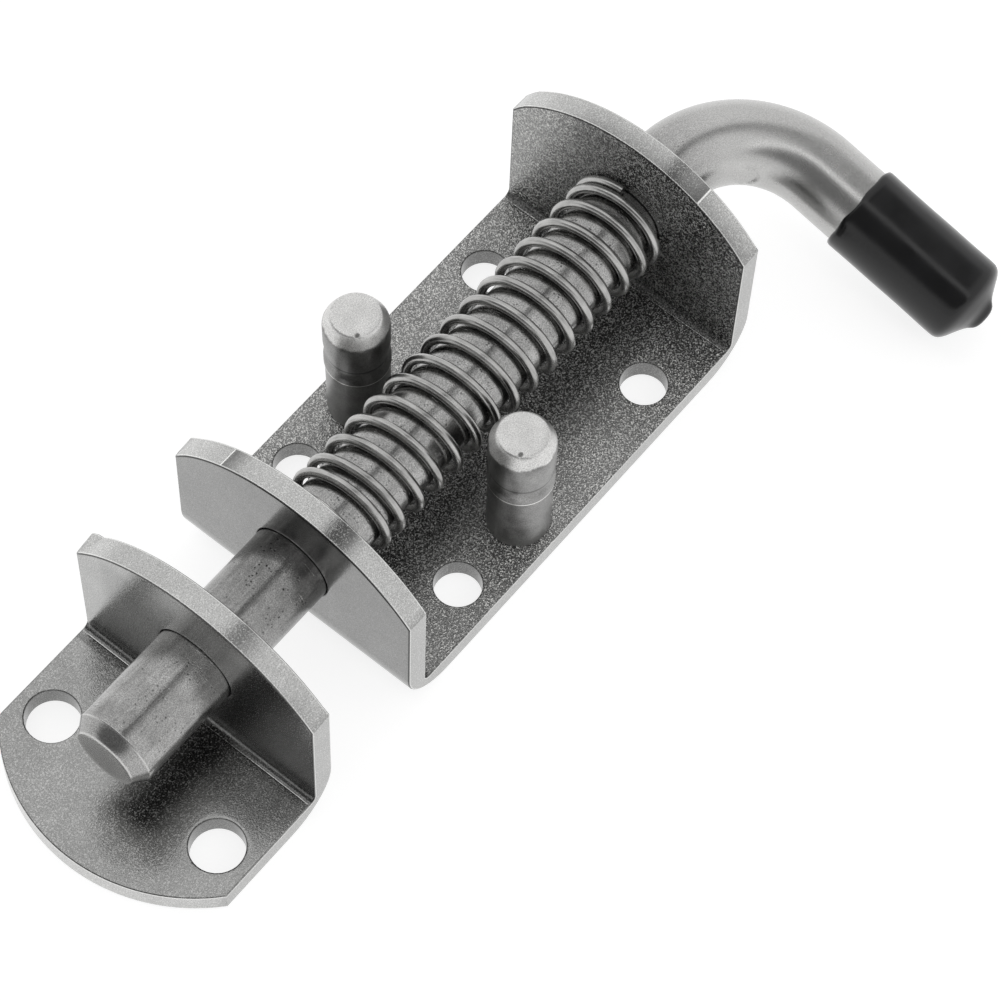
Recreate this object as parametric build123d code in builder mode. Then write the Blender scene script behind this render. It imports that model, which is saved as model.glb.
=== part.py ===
from build123d import *

import os
from math import cos, radians, sin, sqrt

# Spring loaded gate latch, in millimetres.
# +X runs along the bolt towards the keeper, +Y is the handle's side and +Z is up.
# The origin is the centre of the bracket's four screw holes, on the mounting surface z = 0.

# Steel strip that the bracket and the keeper are folded from
SHEET = 4.5
PLATE_WIDTH = 52.0
BEND_INSIDE = 1.3
BEND_OUTSIDE = 9.5
EDGE_ROUND = 0.4
HALF_WIDTH = PLATE_WIDTH / 2

# Bolt line and the bores that guide the bolt
AXIS_Z = 23.2
BOLT_R = 7.75
BORE_CLEARANCE = 0.1
BORE_EDGE = 0.4
BORE_R = BOLT_R + BORE_CLEARANCE

# Bracket
FRONT_EAR_X = 48.7
REAR_EAR_X = -46.8
FRONT_CROWN_Z = 43.0
REAR_CROWN_Z = 44.8
SCREW_SPACING_X = 52.7
SCREW_SPACING_Y = 36.9
BASE_SCREW_HOLE_R = 4.35

# Ear outline: one arc from shoulder to shoulder over two straight sides
SHOULDER_DROP = 12.5

# Keeper: an ear like the bracket's and a plate with a round end
KEEPER_EAR_X = 73.5
KEEPER_CROWN_Z = 43.6
KEEPER_ARC_RADIUS = 34.6
KEEPER_SCREW_OFFSET = 16.9
KEEPER_SCREW_SPACING_Y = 37.4
KEEPER_SCREW_HOLE_R = 4.9
KEEPER_CORNER_X = KEEPER_EAR_X + sqrt(KEEPER_ARC_RADIUS**2 - HALF_WIDTH**2)
KEEPER_END_X = KEEPER_EAR_X + KEEPER_ARC_RADIUS

# Bolt: chamfered nose, straight shank, quarter bend behind the rear ear, handle
NOSE_X = 96.1
NOSE_FACE_R = 5.9
NOSE_CHAMFER_LENGTH = 2.5
BEND_START_X = -54.0
BEND_RADIUS = 21.0
BEND_ANGLE = 90.0
HANDLE_TILT = -14.5
HANDLE_STRAIGHT = 33.0
HANDLE_END_CHAMFER = 1.0

# Stop pin through the bolt, and the washer that the spring pushes on
EAR_GAP = 0.3
PIN_R = 1.5
PIN_LENGTH = 21.0
PIN_FIT = 0.02
PIN_CHAMFER = 0.4
WASHER_GAP = 0.15
WASHER_THICKNESS = 0.8
WASHER_R = 9.3
WASHER_EDGE = 0.15
PIN_X = FRONT_EAR_X - SHEET - EAR_GAP - PIN_R
WASHER_FRONT_X = PIN_X - PIN_R - WASHER_GAP
WASHER_REAR_X = WASHER_FRONT_X - WASHER_THICKNESS

# Spring: a closed turn against the rear ear, open coils, and an open end against the washer
WIRE_R = 0.9
COIL_RADIUS = 9.1
SPRING_GAP = 0.2
CLOSED_PITCH = 1.9
REAR_PITCH = 4.2
FRONT_PITCH = 3.4
END_PITCH = 4.6
BODY_TURNS = 13
END_TURNS = 0.75
SPRING_REAR_X = REAR_EAR_X + SHEET + SPRING_GAP + WIRE_R
SPRING_FRONT_X = WASHER_REAR_X - SPRING_GAP - WIRE_R
OTHER_TURNS_LENGTH = CLOSED_PITCH + REAR_PITCH + FRONT_PITCH + END_PITCH * END_TURNS
BODY_PITCH = (SPRING_FRONT_X - SPRING_REAR_X - OTHER_TURNS_LENGTH) / BODY_TURNS

# Posts riveted into the base, one on each side of the spring
POST_X = 9.4
POST_Y = 18.3
POST_SHANK_R = 5.8
POST_COLLAR_R = 6.0
POST_WAIST_R = 5.7
POST_FACE_R = 4.9
POST_COLLAR_Z = 20.2
POST_COLLAR_TOP_Z = 22.4
POST_WAIST_Z = 23.6
POST_CAP_Z = 27.2
POST_CHAMFER_Z = 32.8
POST_TOP_Z = 34.8
TENON_R = 4.0
TENON_FIT = 0.02
TENON_FLARE = 1.0
TENON_RECESS = 0.2

# Grip: a dipped cap over the end of the handle, with a soft point at its closed end
GRIP_R = 8.65
GRIP_START = 8.7
GRIP_LIP = 0.5
GRIP_SHOULDER = 35.9
GRIP_SHOULDER_ROUND = 2.2
GRIP_POINT = 39.8
GRIP_POINT_R = 2.0
GRIP_POINT_ROUND = 1.0

# Planes and directions that several pieces share
ACROSS_BOLT = Plane.YZ
BOLT_AXIS = Axis((0, 0, AXIS_Z), (1, 0, 0))
HANDLE_SIDE = Vector(0, cos(radians(HANDLE_TILT)), sin(radians(HANDLE_TILT)))
BEND_START = Vector(BEND_START_X, 0, AXIS_Z)
BEND_PLANE = Plane(origin=BEND_START, x_dir=(-1, 0, 0), z_dir=Vector(-1, 0, 0).cross(HANDLE_SIDE))
HANDLE_START = BEND_START + Vector(-BEND_RADIUS, 0, 0) + HANDLE_SIDE * BEND_RADIUS
HANDLE_PLANE = Plane(origin=HANDLE_START, x_dir=HANDLE_SIDE, z_dir=BEND_PLANE.z_dir)
HANDLE_AXIS = Axis(HANDLE_START, HANDLE_SIDE)


def ear_outline(crown_z):
    """Outline of one ear above its bend: straight sides and an arched crown."""
    shoulder_z = crown_z - SHOULDER_DROP
    with BuildSketch() as outline:
        with BuildLine():
            Polyline(
                (-HALF_WIDTH, shoulder_z),
                (-HALF_WIDTH, BEND_OUTSIDE),
                (HALF_WIDTH, BEND_OUTSIDE),
                (HALF_WIDTH, shoulder_z),
            )
            ThreePointArc((-HALF_WIDTH, shoulder_z), (0, crown_z), (HALF_WIDTH, shoulder_z))
        make_face()
    return outline.sketch


def tumbled_edges(plate):
    """Long edges of a folded plate, shortest first: not its holes, bend lines or corner edges."""
    outlines = plate.edges().filter_by(lambda edge: edge.length > SHEET + BEND_INSIDE)
    open_outlines = outlines.filter_by(lambda edge: not edge.is_closed)
    return open_outlines.filter_by(Axis.Y, reverse=True).sort_by(SortBy.LENGTH)


def bore_edges(plate):
    """Rims of the bores that the bolt runs in."""
    rims = plate.edges().filter_by(GeomType.CIRCLE)
    return rims.filter_by(lambda edge: abs(edge.radius - BORE_R) < BORE_CLEARANCE / 2)


os.makedirs("parts", exist_ok=True)

# Base bracket: one strip folded up at both ends, with screw holes, rivet holes and two bores
with BuildPart() as base_bracket:
    with BuildSketch(Plane.XZ):
        with BuildLine():
            outer = FilletPolyline(
                (REAR_EAR_X, BEND_OUTSIDE + BEND_INSIDE),
                (REAR_EAR_X, 0),
                (FRONT_EAR_X, 0),
                (FRONT_EAR_X, BEND_OUTSIDE + BEND_INSIDE),
                radius=BEND_OUTSIDE,
            )
            inner = FilletPolyline(
                (REAR_EAR_X + SHEET, BEND_OUTSIDE + BEND_INSIDE),
                (REAR_EAR_X + SHEET, SHEET),
                (FRONT_EAR_X - SHEET, SHEET),
                (FRONT_EAR_X - SHEET, BEND_OUTSIDE + BEND_INSIDE),
                radius=BEND_INSIDE,
            )
            Line(outer @ 0, inner @ 0)
            Line(outer @ 1, inner @ 1)
        make_face()
    extrude(amount=HALF_WIDTH, both=True)
    with BuildSketch(ACROSS_BOLT.offset(FRONT_EAR_X)):
        add(ear_outline(FRONT_CROWN_Z))
    extrude(amount=-SHEET)
    with BuildSketch(ACROSS_BOLT.offset(REAR_EAR_X)):
        add(ear_outline(REAR_CROWN_Z))
    extrude(amount=SHEET)
    fillet(tumbled_edges(base_bracket), EDGE_ROUND)
    with Locations(Plane.XY.offset(SHEET)):
        with GridLocations(SCREW_SPACING_X, SCREW_SPACING_Y, 2, 2):
            Hole(BASE_SCREW_HOLE_R, SHEET)
    with Locations(Plane((POST_X, 0, 0), x_dir=(1, 0, 0), z_dir=(0, 0, -1))):
        with GridLocations(0, 2 * POST_Y, 1, 2):
            CounterSinkHole(TENON_R, TENON_R + TENON_FLARE, SHEET)
    with Locations(Plane((FRONT_EAR_X, 0, AXIS_Z), z_dir=(1, 0, 0))):
        Hole(BORE_R, FRONT_EAR_X - REAR_EAR_X)
    chamfer(bore_edges(base_bracket), BORE_EDGE)
base_bracket.part.label = "base_bracket"
export_step(base_bracket.part, "parts/base_bracket.step")

# Keeper: one strip folded up once, with a round end, two screw holes and one bore
with BuildPart() as keeper:
    with BuildSketch(Plane.XZ):
        with BuildLine():
            outer = FilletPolyline(
                (KEEPER_EAR_X - SHEET, BEND_OUTSIDE + BEND_INSIDE),
                (KEEPER_EAR_X - SHEET, 0),
                (KEEPER_END_X, 0),
                radius=BEND_OUTSIDE,
            )
            inner = FilletPolyline(
                (KEEPER_EAR_X, BEND_OUTSIDE + BEND_INSIDE),
                (KEEPER_EAR_X, SHEET),
                (KEEPER_END_X, SHEET),
                radius=BEND_INSIDE,
            )
            Line(outer @ 0, inner @ 0)
            Line(outer @ 1, inner @ 1)
        make_face()
    extrude(amount=HALF_WIDTH, both=True)
    with BuildSketch():
        with BuildLine():
            Polyline(
                (KEEPER_CORNER_X, -HALF_WIDTH),
                (KEEPER_EAR_X - SHEET, -HALF_WIDTH),
                (KEEPER_EAR_X - SHEET, HALF_WIDTH),
                (KEEPER_CORNER_X, HALF_WIDTH),
            )
            ThreePointArc((KEEPER_CORNER_X, -HALF_WIDTH), (KEEPER_END_X, 0), (KEEPER_CORNER_X, HALF_WIDTH))
        make_face()
    extrude(amount=KEEPER_CROWN_Z, mode=Mode.INTERSECT)
    with BuildSketch(ACROSS_BOLT.offset(KEEPER_EAR_X)):
        add(ear_outline(KEEPER_CROWN_Z))
    extrude(amount=-SHEET)
    fillet(tumbled_edges(keeper), EDGE_ROUND)
    with Locations(Plane((KEEPER_EAR_X + KEEPER_SCREW_OFFSET, 0, SHEET))):
        with GridLocations(0, KEEPER_SCREW_SPACING_Y, 1, 2):
            Hole(KEEPER_SCREW_HOLE_R, SHEET)
    with Locations(Plane((KEEPER_EAR_X, 0, AXIS_Z), z_dir=(1, 0, 0))):
        Hole(BORE_R, SHEET)
    chamfer(bore_edges(keeper), BORE_EDGE)
keeper.part.label = "keeper"
export_step(keeper.part, "parts/keeper.step")

# Bolt: one round bar with its nose chamfered, bent a quarter turn behind the rear ear
with BuildPart() as bolt:
    with BuildSketch(Plane.XZ):
        with BuildLine():
            Polyline(
                (BEND_START_X, AXIS_Z),
                (NOSE_X, AXIS_Z),
                (NOSE_X, AXIS_Z + NOSE_FACE_R),
                (NOSE_X - NOSE_CHAMFER_LENGTH, AXIS_Z + BOLT_R),
                (BEND_START_X, AXIS_Z + BOLT_R),
                close=True,
            )
        make_face()
    revolve(axis=BOLT_AXIS)
    with BuildLine(BEND_PLANE) as handle_path:
        bend = JernArc((0, 0), (1, 0), BEND_RADIUS, BEND_ANGLE)
        Line(bend @ 1, bend @ 1 + (bend % 1) * HANDLE_STRAIGHT)
    with BuildSketch(Plane(BEND_START, z_dir=(-1, 0, 0))):
        Circle(BOLT_R)
    sweep(path=handle_path.line)
    chamfer(bolt.faces().sort_by(HANDLE_AXIS)[-1].edges(), HANDLE_END_CHAMFER)
    with BuildSketch(Plane.XZ):
        with Locations((PIN_X, AXIS_Z)):
            Circle(PIN_R + PIN_FIT)
    extrude(amount=2 * BOLT_R, both=True, mode=Mode.SUBTRACT)
bolt.part.label = "bolt"
export_step(bolt.part, "parts/bolt.step")

# Stop pin: pressed across the bolt, it meets the front ear when the latch is shut
with BuildPart() as stop_pin:
    with BuildSketch(Plane.XZ):
        with Locations((PIN_X, AXIS_Z)):
            Circle(PIN_R)
    extrude(amount=PIN_LENGTH / 2, both=True)
    chamfer(stop_pin.edges().filter_by(GeomType.CIRCLE), PIN_CHAMFER)
stop_pin.part.label = "stop_pin"
export_step(stop_pin.part, "parts/stop_pin.step")

# Spring washer: a plain ring between the stop pin and the spring
with BuildPart() as spring_washer:
    with BuildSketch(Plane((WASHER_REAR_X, 0, AXIS_Z), z_dir=(1, 0, 0))):
        Circle(WASHER_R)
        Circle(BORE_R, mode=Mode.SUBTRACT)
    extrude(amount=WASHER_THICKNESS)
    chamfer(spring_washer.edges().filter_by(GeomType.CIRCLE), WASHER_EDGE)
spring_washer.part.label = "spring_washer"
export_step(spring_washer.part, "parts/spring_washer.step")

# Spring: stretches of one right-hand helix at different pitches, each starting above the bolt
with BuildPart() as spring:
    start_x = SPRING_REAR_X
    for pitch, turns in (
        (CLOSED_PITCH, 1),
        (REAR_PITCH, 1),
        (BODY_PITCH, BODY_TURNS),
        (FRONT_PITCH, 1),
        (END_PITCH, END_TURNS),
    ):
        with BuildLine() as stretch:
            Helix(pitch, pitch * turns, COIL_RADIUS, center=(start_x, 0, AXIS_Z), direction=(1, 0, 0))
        with BuildSketch(Plane.XZ):
            with Locations((start_x, AXIS_Z + COIL_RADIUS)):
                Circle(WIRE_R)
        sweep(path=stretch.line, is_frenet=True)
        start_x += pitch * turns
spring.part.label = "spring"
export_step(spring.part, "parts/spring.step")

# Posts: turned studs with a collar and a waist, their tenons peened over under the base
for side, post_y in (("left", -POST_Y), ("right", POST_Y)):
    with BuildPart() as post:
        with BuildSketch(Plane.XZ.offset(-post_y)):
            with BuildLine():
                Polyline(
                    (POST_X, TENON_RECESS),
                    (POST_X + TENON_R + TENON_FLARE - TENON_RECESS - TENON_FIT, TENON_RECESS),
                    (POST_X + TENON_R - TENON_FIT, TENON_FLARE),
                    (POST_X + TENON_R - TENON_FIT, SHEET),
                    (POST_X + POST_SHANK_R, SHEET),
                    (POST_X + POST_SHANK_R, POST_COLLAR_Z),
                    (POST_X + POST_COLLAR_R, POST_COLLAR_Z),
                    (POST_X + POST_COLLAR_R, POST_COLLAR_TOP_Z),
                    (POST_X + POST_WAIST_R, POST_WAIST_Z),
                    (POST_X + POST_COLLAR_R, POST_CAP_Z),
                    (POST_X + POST_COLLAR_R, POST_CHAMFER_Z),
                    (POST_X + POST_FACE_R, POST_TOP_Z),
                    (POST_X, POST_TOP_Z),
                    close=True,
                )
            make_face()
        revolve(axis=Axis((POST_X, post_y, 0), (0, 0, 1)))
    post.part.label = f"{side}_post"
    export_step(post.part, f"parts/{side}_post.step")

# Grip: a soft cap, open where the handle enters it, with a rounded shoulder and a soft point
with BuildPart() as grip:
    with BuildSketch(HANDLE_PLANE):
        with BuildLine():
            Polyline(
                (GRIP_START, BOLT_R),
                (HANDLE_STRAIGHT - HANDLE_END_CHAMFER, BOLT_R),
                (HANDLE_STRAIGHT, BOLT_R - HANDLE_END_CHAMFER),
                (HANDLE_STRAIGHT, 0),
                (GRIP_POINT, 0),
                (GRIP_POINT, GRIP_POINT_R),
                (GRIP_SHOULDER, GRIP_R),
                (GRIP_START, GRIP_R),
                close=True,
            )
        make_face()
        for corner, rounding in (
            ((GRIP_START, GRIP_R), GRIP_LIP),
            ((GRIP_SHOULDER, GRIP_R), GRIP_SHOULDER_ROUND),
            ((GRIP_POINT, GRIP_POINT_R), GRIP_POINT_ROUND),
        ):
            fillet(vertices().sort_by_distance(corner)[0], rounding)
    revolve(axis=HANDLE_AXIS)
grip.part.label = "grip"
export_step(grip.part, "parts/grip.step")
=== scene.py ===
"""Spring loaded gate latch: its shown pieces, their finishes and the studio.

Lengths are millimetres while a mesh is shaped, and make_piece turns them into metres. x runs along
the bolt, y across the strips and z away from the mounting surface.
"""

import logging
from collections.abc import Callable
from dataclasses import dataclass
from enum import Enum
from functools import partialmethod
from math import cos, exp, pi, radians, sin, sqrt

import bmesh
import bpy
from bmesh.types import BMEdge, BMesh, BMVert
from bpy.types import Material, Node, NodeSocket
from mathutils import Matrix, Vector, noise


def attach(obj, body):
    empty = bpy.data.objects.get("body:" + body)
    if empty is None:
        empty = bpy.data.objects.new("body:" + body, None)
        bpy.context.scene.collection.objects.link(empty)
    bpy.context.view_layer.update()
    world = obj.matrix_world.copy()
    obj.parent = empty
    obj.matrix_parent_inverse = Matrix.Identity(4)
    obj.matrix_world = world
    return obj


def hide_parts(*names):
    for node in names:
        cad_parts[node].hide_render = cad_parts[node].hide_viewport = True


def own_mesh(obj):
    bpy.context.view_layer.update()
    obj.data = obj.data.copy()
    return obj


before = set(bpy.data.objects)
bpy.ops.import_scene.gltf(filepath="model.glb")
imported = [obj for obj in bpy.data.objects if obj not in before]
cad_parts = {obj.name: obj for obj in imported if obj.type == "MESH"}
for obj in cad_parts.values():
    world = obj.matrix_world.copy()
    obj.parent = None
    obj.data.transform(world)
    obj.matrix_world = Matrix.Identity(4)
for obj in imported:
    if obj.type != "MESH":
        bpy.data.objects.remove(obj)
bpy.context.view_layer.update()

LOG = logging.getLogger("gate_latch")
MM = 0.001
AXIS_Z = 23.2
BAR_R = 7.75
ALONG_X = Vector((1, 0, 0))
SHARP_ANGLE = radians(38)

# Surface marks of a strip: painted highlights on edges, painted dark lines, sheared walls,
# grain and painted shade
MARKS = ("rim", "line", "cut", "coarse", "shade")
EDGE_GRAIN = 0.05
# Painted shade in the inner curve of each fold and on the strips' side walls
FOLD_SHADE = 0.9
SIDE_SHADE = 0.35

Point = tuple[float, float, float]
Pairs = tuple[tuple[float, float], ...]

# Row of a strip at one place across it: x and z of the lower side, then of the upper side
Row = tuple[float, float, float, float]
Station = Callable[[float], Row]


class Body(Enum):
    """CAD bodies that the pieces ride on."""

    ROOT = "root"
    BOLT = "bolt"


class Slot(Enum):
    """Material slots of the record."""

    PLATE = "plate_steel"
    TURNED = "turned_steel"
    BAR = "bar_steel"
    WIRE = "spring_steel"
    VINYL = "grip_vinyl"


def smoothstep(low: float, high: float, value: float) -> float:
    """Smooth rise from 0 at low to 1 at high."""
    share = min(max((value - low) / (high - low), 0.0), 1.0)
    return share * share * (3 - 2 * share)


def fall(low: float, high: float, value: float) -> float:
    """Smooth fall from 1 at low to 0 at high."""
    return 1 - smoothstep(low, high, value)


def mix(start: float, end: float, share: float) -> float:
    """Value that lies share of the way from start to end."""
    return start + (end - start) * share


def spread(start: float, end: float, count: int) -> list[float]:
    """Count evenly spaced values from start, with end left out."""
    return [mix(start, end, step / count) for step in range(count)]


# Materials


class Term:
    """Value in a node tree that takes part in sums like a plain number."""

    def __init__(self, sheet: "NodeSheet", socket: NodeSocket) -> None:
        """Wrap an output socket of a sheet."""
        self.sheet = sheet
        self.socket = socket

    def combine(self, operation: str, other: object = 0.0) -> "Term":
        """Join this and another value in a math node.

        Args:
            operation: Blender's name of the operation.
            other: Term, socket or number.

        Returns:
            The result.
        """
        node = self.sheet.add("ShaderNodeMath", {"operation": operation})
        self.sheet.feed(node.inputs[0], self)
        self.sheet.feed(node.inputs[1], other)
        return Term(self.sheet, node.outputs["Value"])

    __add__ = __radd__ = partialmethod(combine, "ADD")
    __mul__ = __rmul__ = partialmethod(combine, "MULTIPLY")
    __sub__ = partialmethod(combine, "SUBTRACT")
    __abs__ = partialmethod(combine, "ABSOLUTE")

    def remap(
        self, low: float, high: float, to_low: float = 0.0, to_high: float = 1.0, soft: bool = False
    ) -> "Term":
        """Value moved from one range to another and held inside it.

        Args:
            low: Start of the first range.
            high: End of the first range.
            to_low: Result at low.
            to_high: Result at high.
            soft: True for a smooth start and end.

        Returns:
            The moved value.
        """
        kind = "SMOOTHSTEP" if soft else "LINEAR"
        limits = {"From_Min": low, "From_Max": high, "To_Min": to_low, "To_Max": to_high}
        settings = {"interpolation_type": kind}
        node = self.sheet.add("ShaderNodeMapRange", settings, Value=self, **limits)
        return Term(self.sheet, node.outputs["Result"])

    def swing(self, reach: float = 0.5) -> "Term":
        """Noise value spread from -reach to reach."""
        return self.remap(0.3, 0.7, -reach, reach)

    def hill(self, place: float, core: float, reach: float) -> "Term":
        """Share that is 1 within core of place and 0 beyond reach."""
        return abs(self - place).remap(core, reach, 1.0, 0.0)


class NodeSheet:
    """Nodes and links of one material or world."""

    def __init__(self, owner: Material | bpy.types.World) -> None:
        """Open the node tree of a new material or world.

        Args:
            owner: The material or world.
        """
        owner.use_nodes = True
        self.owner = owner
        self.tree = owner.node_tree
        self.shader = self.tree.nodes.get("Principled BSDF")

    def add(self, kind: str, settings: dict[str, object] | None = None, **inputs: object) -> Node:
        """Add a node.

        Args:
            kind: Blender's name of the node type.
            settings: Node properties by name.
            **inputs: Values or sockets by input name, with _ for a space.

        Returns:
            The new node.
        """
        node = self.tree.nodes.new(kind)
        for name, value in (settings or {}).items():
            setattr(node, name, value)
        for name, value in inputs.items():
            self.feed(node.inputs[name.replace("_", " ")], value)
        return node

    def feed(self, socket: NodeSocket, value: object) -> None:
        """Give an input socket a value.

        Args:
            socket: Input socket.
            value: Term or output socket to link, or a plain value to set.
        """
        if isinstance(value, Term):
            value = value.socket
        if isinstance(value, NodeSocket):
            self.tree.links.new(value, socket)
        else:
            socket.default_value = value

    def place(self) -> NodeSocket:
        """Object coordinates in millimetres."""
        coordinates = self.add("ShaderNodeTexCoord").outputs["Object"]
        return self.stretch(coordinates, (1 / MM, 1 / MM, 1 / MM))

    def attribute(self, name: str) -> Node:
        """Attribute of the mesh by name."""
        return self.add("ShaderNodeAttribute", {"attribute_name": name})

    def stretch(self, vector: NodeSocket, scale: Point) -> NodeSocket:
        """Vector stretched by scale."""
        return self.add("ShaderNodeMapping", Vector=vector, Scale=scale).outputs["Vector"]

    def axes(self, vector: NodeSocket) -> list[Term]:
        """The three parts of a vector."""
        split = self.add("ShaderNodeSeparateXYZ", Vector=vector)
        return [Term(self, socket) for socket in split.outputs]

    def noise(
        self, vector: NodeSocket, scale: float, detail: float = 2.0, rough: float = 0.55
    ) -> Term:
        """Noise at scale cycles a millimetre.

        Args:
            vector: Coordinates in millimetres.
            scale: Cycles a millimetre.
            detail: Octaves.
            rough: Weight of each finer octave.

        Returns:
            The noise value, about 0.5 on average.
        """
        settings = {"Scale": scale, "Detail": detail, "Roughness": rough}
        node = self.add("ShaderNodeTexNoise", Vector=vector, **settings)
        return Term(self, node.outputs["Fac"])

    def spots(self, vector: NodeSocket, scale: float) -> Term:
        """Distance to the nearest point of a scattered set, scale points a millimetre."""
        node = self.add("ShaderNodeTexVoronoi", Vector=vector, Scale=scale)
        return Term(self, node.outputs["Distance"])

    def near(self, vector: NodeSocket, point: Point, core: float, reach: float) -> Term:
        """Closeness to a point.

        Args:
            vector: Coordinates in millimetres.
            point: The point.
            core: Distance up to which the share is 1.
            reach: Distance from which it is 0.

        Returns:
            The share.
        """
        node = self.add("ShaderNodeVectorMath", {"operation": "DISTANCE"})
        self.feed(node.inputs[0], vector)
        node.inputs[1].default_value = point
        return Term(self, node.outputs["Value"]).remap(core, reach, 1.0, 0.0, soft=True)

    def bump(
        self, height: object, depth: float, strength: object = 1.0, normal: object = None
    ) -> NodeSocket:
        """Normal of a relief.

        Args:
            height: Height from 0 to 1.
            depth: Height of 1 in millimetres.
            strength: Share of the relief that is used.
            normal: Normal of a coarser relief below this one.

        Returns:
            The normal.
        """
        node = self.add("ShaderNodeBump", Height=height, Distance=depth * MM, Strength=strength)
        if normal is not None:
            self.feed(node.inputs["Normal"], normal)
        return node.outputs["Normal"]

    def dress(
        self, tone: Term, tint: Point, roughness: Term, normal: NodeSocket, metallic: float = 1.0
    ) -> Material:
        """Set the shader.

        Args:
            tone: Tone from 0 to 1.
            tint: Colour at tone 1.
            roughness: Roughness.
            normal: Surface normal.
            metallic: 1 for bare metal and 0 for plastic.

        Returns:
            The finished material.
        """
        ramp = self.add("ShaderNodeValToRGB", Fac=tone)
        ramp.color_ramp.elements[0].color = (0, 0, 0, 1)
        ramp.color_ramp.elements[1].color = (*tint, 1)
        names = ("Base Color", "Roughness", "Normal", "Metallic")
        for name, value in zip(names, (ramp.outputs["Color"], roughness, normal, metallic)):
            self.feed(self.shader.inputs[name], value)
        return self.owner


@dataclass(frozen=True)
class PlateSteel:
    """Tumbled sheet steel: grained over the plate, finer outside, with painted highlights on edges.

    The shares outside, shaded, patched and lined are what is left of the tone on the outer faces,
    in the painted shade, in a crease's patch of painted shade and on a painted dark line.
    """

    tone: float = 0.36
    cut_tone: float = 0.5
    # Tone added by the painted highlights on edges and creases
    highlight_tone: float = 0.5
    outside: float = 0.68
    shaded: float = 0.37
    patched: float = 0.45
    lined: float = 0.2
    tint: Point = (1.0, 1.0, 0.985)
    creases: tuple[Point, ...] = ((-44.5, 14.8, -1.0), (46.4, -15.4, 1.0))

    def crease(self, sheet: NodeSheet, place: NodeSocket) -> tuple[object, object]:
        """Painted highlight line and patch of painted shade across the two crowns of the bracket.

        Args:
            sheet: Sheet of the material.
            place: Object coordinates in millimetres.

        Returns:
            Share that is 1 on the highlight line, and share that is 1 in the shaded patch beside
            it.
        """
        x, y, _ = sheet.axes(place)
        line: object = 0.0
        patch: object = 0.0
        for crease_x, crease_y, side in self.creases:
            here = x.hill(crease_x, 2.2, 2.6)
            off = (y - crease_y) * side
            line += off.hill(0.0, 0.08, 0.2) * here
            patch += off.remap(0.1, 0.25) * off.remap(0.8, 4.5, 1.0, 0.0) * here
        return line, patch

    def material(self) -> Material:
        """Build the material.

        Returns:
            The material.
        """
        sheet = NodeSheet(bpy.data.materials.new(Slot.PLATE.value))
        place = sheet.place()
        pebble = sheet.noise(place, 3.7, 1.5, 0.6)
        grit = sheet.noise(place, 6.5, 1.0)
        cloud = sheet.noise(place, 0.13, 3.0).swing()
        marks = (Term(sheet, sheet.attribute(name).outputs["Fac"]) for name in MARKS)
        rim, edge, cut, coarse, shade = marks
        crease, patch = (mark * cut for mark in self.crease(sheet, place))
        speck = pebble.remap(0.5, 0.72)
        share = (shade * 0.18 + coarse).remap(0.0, 1.0, 0.1, 1.0)
        fine_grain = grit.remap(0.3, 0.7, 0.72, 1.28)
        coarse_grain = speck * 3.1 + grit.remap(0.3, 0.7, 0.4, 0.74)
        tone = cloud * 0.06 + cut * (self.cut_tone - self.tone) + self.tone
        tone *= coarse.remap(0.0, 0.04, self.outside, 1.0)
        # Painted shade from the shade mark, and in the crease's patch
        tone *= shade.remap(0.0, 1.0, 1.0, self.shaded)
        tone *= patch.remap(0.0, 1.0, 1.0, self.patched)
        tone *= fine_grain + (coarse_grain - fine_grain) * share
        # Painted dark lines along edges, then painted highlights on edges and creases
        tone *= edge.remap(0.0, 0.9, 1.0, self.lined)
        tone += (rim + crease) * self.highlight_tone
        rough = coarse.remap(0.0, 1.0, 0.15, 0.2) + cloud * 0.05 + speck * share * 0.9
        normal = sheet.bump(grit * 0.35 + pebble, 0.1, coarse.remap(0.0, 1.0, 0.1, 0.95))
        normal = sheet.bump(crease, 0.12, 1.0, normal)
        return sheet.dress(tone, self.tint, rough, normal)


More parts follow.
